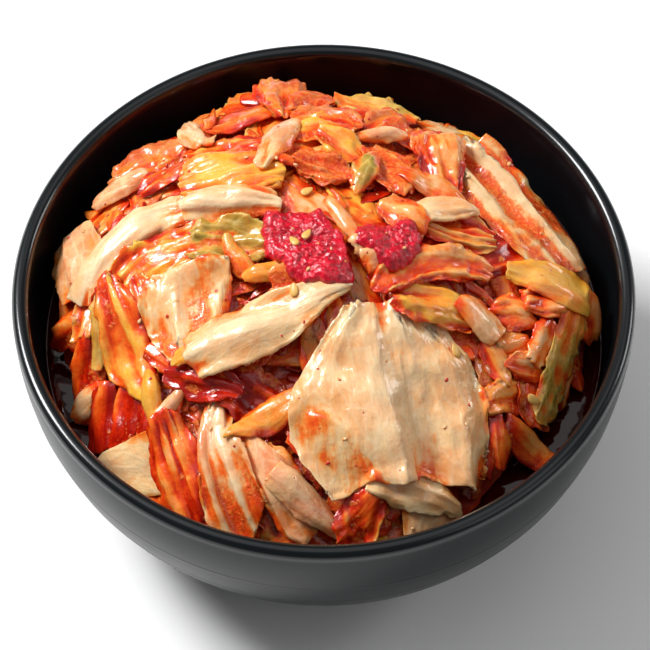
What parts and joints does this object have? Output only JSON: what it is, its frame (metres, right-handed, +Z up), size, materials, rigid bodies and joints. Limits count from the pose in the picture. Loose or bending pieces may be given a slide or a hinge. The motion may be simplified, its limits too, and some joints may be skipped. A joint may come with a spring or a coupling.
{
  "type": "bowl of kimchi",
  "caption": "Heap of cut napa cabbage kimchi in chilli sauce, topped with chilli paste, in a dark round rimmed bowl with a foot ring.",
  "frame": {"origin": "centre of the bowl's foot ring, on the surface it stands on", "axes": "+Z up along the bowl's axis, -Y towards the eater, +X to the eater's right"},
  "size_m": [0.15, 0.15, 0.0852],
  "materials": {
    "bowl_glaze": "satin",
    "kimchi_cabbage": "satin",
    "brine_sauce": "gloss",
    "chilli_paste": "satin"
  },
  "bodies": {
    "root": {"bowl": "bowl_glaze", "kimchi_heap": "kimchi_cabbage", "brine": "brine_sauce", "chilli_paste_large": "chilli_paste", "chilli_paste_small": "chilli_paste"}
  },
  "joints": []
}
